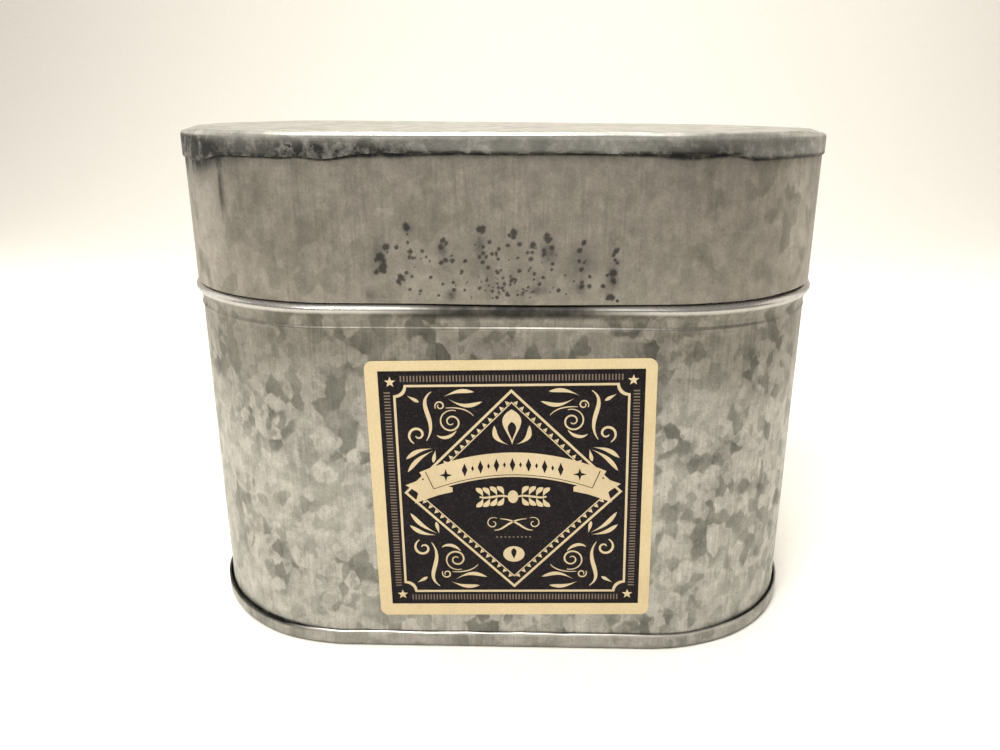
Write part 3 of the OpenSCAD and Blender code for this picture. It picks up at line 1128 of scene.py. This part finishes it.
def rounded_square(half, radius):
    outline = []
    for quarter, (su, sv) in enumerate(CORNERS):
        middle = ((half - radius) * su, (half - radius) * sv)
        outline += [polar(middle, radius, math.pi / 2 * (quarter + t)) for t in fractions(CORNER_STEPS)]
    return outline


def diamond(reach):
    return [(0, reach), (-reach, 0), (0, -reach), (reach, 0)]


def notched_square(half, notch):
    """A square whose corners are scooped out by quarter circles."""
    outline = []
    for quarter, (su, sv) in enumerate(CORNERS):
        for t in fractions(CORNER_STEPS):
            a = math.pi / 2 * (t if quarter % 2 else 1 - t)
            outline.append((su * (half - notch * math.cos(a)), sv * (half - notch * math.sin(a))))
    return outline


# The print's main lines, in mm
PANEL_HALF = 22.95
FRAME_HALF = 20.45
DIAMOND_OUT = 19.5
DIAMOND_IN = 17.2
RIBBON_BEND = 0.0134
RIBBON_TOP = 7.7
RIBBON_FOOT = 3.0
CORNERS = [(1, 1), (-1, 1), (-1, -1), (1, -1)]
CORNER_STEPS = 8

# Depths of the printed layers over the tin's wall, in mm. The paper fills the lowest 0.1.
PAPER, PANEL, ORNAMENT = (0.0, 0.100), (0.098, 0.118), (0.118, 0.134)
TICKS, TAILS, RIBBON, RIBBON_PRINT = (0.118, 0.126), (0.134, 0.140), (0.134, 0.146), (0.146, 0.150)


def corner_scrolls(art):
    """Leafy scrollwork in the frame's corners, from one drawing with points running inwards."""
    leaves = (
        ((6.3, 11.9), (1.6, 13.9), 0.80, 0.10), ((6.5, 12.3), (1.8, 16.4), 0.80, 0.08),
        ((6.9, 12.2), (6.4, 14.6), 0.65, 0.0), ((8.8, 2.2), (14.0, 1.4), 0.75, -0.10),
        ((9.6, 2.7), (15.4, 3.2), 0.75, 0.16), ((2.4, 2.0), (4.4, 3.2), 0.60, 0.0),
    )
    lines = (
        (bezier((6.6, 1.3), (3.4, 3.6), (8.0, 6.6), (5.4, 10.4)), 0.12, 0.75, 0.5),
        (spiral((3.9, 9.3), 0.40, 1.75, 150, -1.1, 32), 0.20, 0.45, 0.75),
        (spiral((9.9, 6.9), 0.40, 2.25, 40, 1.7), 0.14, 0.32, 0.6),
        (spiral((8.0, 3.9), 0.35, 0.90, 220, -1.2, 26), 0.14, 0.26, 0.7),
        (bezier((9.0, 4.3), (11.4, 4.1), (13.0, 4.7), (13.8, 5.8)), 0.10, 0.22, 0.4),
        (bezier((7.3, 9.4), (8.2, 10.2), (9.7, 9.9), (10.7, 8.6)), 0.10, 0.60, 0.55),
    )
    for corner in CORNERS:
        for points, thin, thick, peak in lines:
            art.stroke(from_corner(corner, points), swell(len(points), thin, thick, peak))
        for foot, tip, width, curve in leaves:
            art.plate(from_corner(corner, petal(foot, tip, width, curve)))


def from_corner(corner, points):
    """Points measured inwards from one corner of the frame."""
    return [(corner[0] * (FRAME_HALF - p), corner[1] * (FRAME_HALF - q)) for p, q in points]


def tooth_row(art):
    """Dog-tooth triangles round the diamond, standing on its inner line."""
    count, base, height, lift = 17, 0.40, 0.78, 0.10
    corners = diamond(DIAMOND_IN)
    for n in range(4):
        a, b = corners[n], corners[(n + 1) % 4]
        along = ((b[0] - a[0]), (b[1] - a[1]))
        size = math.hypot(*along)
        du, dv = along[0] / size, along[1] / size
        out_u, out_v = dv, -du
        for i in range(count):
            t = (i + 0.5) / count
            u = a[0] + along[0] * t + out_u * lift
            v = a[1] + along[1] * t + out_v * lift
            art.plate([
                (u - du * base, v - dv * base),
                (u + du * base, v + dv * base),
                (u + out_u * height, v + out_v * height),
            ])


def ribbon_line(height, half):
    """An arched line across the label."""
    line = [half * (2 * t - 1) for t in fractions(35)]
    return [(u, height - RIBBON_BEND * u * u) for u in line]


def label_art():
    """The frame, its diamond, and a flame, leaf sprig and scroll that carry no words."""
    art = Inlay(*ORNAMENT)
    art.strip(notched_square(FRAME_HALF, 1.9), notched_square(FRAME_HALF - 0.42, 1.9), closed=True)
    art.strip(diamond(DIAMOND_OUT), diamond(DIAMOND_OUT - 0.62), closed=True)
    art.strip(diamond(DIAMOND_IN), diamond(DIAMOND_IN - 0.28), closed=True)
    tooth_row(art)
    corner_scrolls(art)
    for su, sv in CORNERS:
        art.plate(star((su * 20.9, sv * 20.95), 1.0))
    art.plate(oval((0, -12.5), 1.95, 1.6))
    art.plate(petal((0, 9.2), (0, 15.8), 3.3))
    for side in (-1, 1):
        art.plate(petal((side * 0.7, 9.2), (side * 3.1, 12.8), 0.95, side * -0.22))
        leaf_sprig(art, side)
        loop = spiral((side * 3.7, -6.2), 0.32, 1.25, 90, side * 1.1, 26)
        art.stroke(loop, swell(len(loop), 0.08, 0.2))
        tail = bezier((side * 3.5, -7.6), (side * 1.5, -7.7), (side * 1.2, -5.5), (side * -2.4, -5.3))
        art.stroke(tail, swell(len(tail), 0.1, 0.36))
    art.plate(oval((0, -0.9), 0.95, 1.25, 24))
    return art


def leaf_sprig(art, side):
    """One half of a sprig that lies under the ribbon: a stem with pairs of leaves."""
    stem = bezier((side * 0.9, -0.9), (side * 2.4, -0.3), (side * 4.6, -1.5), (side * 6.0, -0.9))
    art.stroke(stem, swell(len(stem), 0.3, 0.4))
    for i in range(4):
        u, v = stem[3 + 5 * i]
        art.plate(petal((u, v + 0.1), (u + side * 1.25, v + 1.9), 0.95, side * 0.12))
        art.plate(petal((u, v - 0.1), (u + side * 1.25, v - 1.9), 0.95, side * -0.12))


def ribbon_tails():
    """Folded, swallow-tailed ends of the ribbon."""
    tails = Inlay(*TAILS)
    outline = [
        (19.2, 1.5), (16.3, 2.6), (10.8, 1.0), (10.8, 0.1), (13.4, -0.5), (17.7, -2.1), (16.9, -0.1),
    ]
    for side in (-1, 1):
        tails.plate([(side * u, v) for u, v in outline])
    return tails


def ribbon_print():
    """A row of lozenges along the ribbon, a spark near each end, and fine border lines."""
    lines = Inlay(*RIBBON_PRINT)
    for side in (-1, 1):
        lines.stroke([(side * 15.5, 4.05), (side * 14.2, 0.80)], [0.16, 0.16])
        lines.plate(star((side * 11.9, 3.4), 1.2, 4, 0.32))
    under = ribbon_line(RIBBON_FOOT + 0.4, 14.2)
    lines.stroke(under, [0.13] * len(under))
    middle = (RIBBON_TOP + RIBBON_FOOT) / 2
    for i in range(-6, 7):
        u = 1.42 * i
        v = middle - RIBBON_BEND * u * u
        wide, high = (0.50, 1.30) if i % 2 == 0 else (0.26, 0.55)
        lines.plate([(u - wide, v), (u, v + high), (u + wide, v), (u, v - high)])
    return lines


def fine_ticks():
    """Rows of short ticks between the frame and the panel's edge, and a dotted line under the scroll."""
    ticks = Inlay(*TICKS)
    count, reach, half = 68, 19.3, 0.12
    for i in range(count):
        t = reach * (-1 + 2 * (i + 0.5) / count)
        for side in (-1, 1):
            near, far = side * 20.98, side * 22.08
            ticks.plate([(t - half, near), (t + half, near), (t + half, far), (t - half, far)])
            ticks.plate([(near, t - half), (near, t + half), (far, t + half), (far, t - half)])
    for i in range(9):
        ticks.plate(oval((0.75 * (i - 4), -9.0), 0.17, 0.17, 12))
    return ticks


def label(stock, pale, ink, dull):
    """The paper and its print, layer upon layer."""
    base = Inlay(*PAPER, scale=1.0, shift=(0.05, 0.05))
    base.plate(rounded_square(LABEL_SIDE / 2, 1.5))
    base.piece("label_paper", stock, "front_label")
    panel = Inlay(*PANEL)
    panel.plate([(PANEL_HALF * su, PANEL_HALF * sv) for su, sv in CORNERS])
    panel.piece("label_panel", ink)
    label_art().piece("label_ornament", pale)
    ribbon_tails().piece("label_ribbon_tails", pale)
    band = Inlay(*RIBBON)
    band.strip(ribbon_line(RIBBON_TOP, 16.6), ribbon_line(RIBBON_FOOT, 14.6))
    band.piece("label_ribbon", pale)
    ribbon_print().piece("label_ribbon_print", ink)
    cores = Inlay(*TAILS)
    cores.plate(petal((0, -13.6), (0, -11.3), 1.0))
    cores.plate(petal((0, 9.9), (0, 13.5), 1.5))
    cores.piece("label_dark_cores", ink)
    fine_ticks().piece("label_ticks", dull)


# -------- assembly

def carried_over(node, material):
    """A CAD node whose shape is right keeps it and takes a finished material."""
    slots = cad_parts[node].data.materials
    slots.clear()
    slots.append(material)


def build():
    add_camera()
    add_lights()
    add_floor(pale_floor())
    body_zinc = galvanised("body_zinc", (0.435, 0.425, 0.388), 2.2, 0.85, 3.0, wall_marks)
    base_zinc = galvanised("base_zinc", (0.36, 0.35, 0.32), 2.7, 0.50, 13.0, wall_marks)
    lid_zinc = galvanised("lid_zinc", (0.332, 0.306, 0.265), 3.0, 0.42, 23.0, lid_marks, 0.5)
    cap_grain = (1.2, 0.2, 1.2)
    cap_zinc = galvanised("cap_zinc", (0.54, 0.53, 0.49), 3.0, 0.45, 33.0, lid_marks, 0.5, cap_grain)
    solder = dull_solder()
    body_wall(body_zinc)
    back_lap(body_zinc)
    body_seam_solder(solder)
    base_pan(base_zinc)
    lid_skirt(lid_zinc)
    lid_cap(cap_zinc)
    lid_seam_solder(lid_zinc)
    wax_fill(soy_wax())
    thread, tin_plate, sticker = cotton(), tinned_steel(), foam()
    for side, lean in (("left", -1), ("right", 1)):
        wick(side, thread, lean)
        carried_over("wick_tab_" + side, tin_plate)
        carried_over("wick_sticker_" + side, sticker)
    stock = paper("label_stock", (0.64, 0.525, 0.32), (0.59, 0.475, 0.28))
    dull = paper("label_dull_print", (0.20, 0.155, 0.12), (0.15, 0.115, 0.09))
    pale = paper("label_pale_print", (0.61, 0.505, 0.325), (0.56, 0.455, 0.285))
    label(stock, pale, printed_ink(), dull)
    carried_over("base_solder", solder)
    lid_top_solder(solder)


build()
bpy.context.scene.view_settings.view_transform = "Standard"
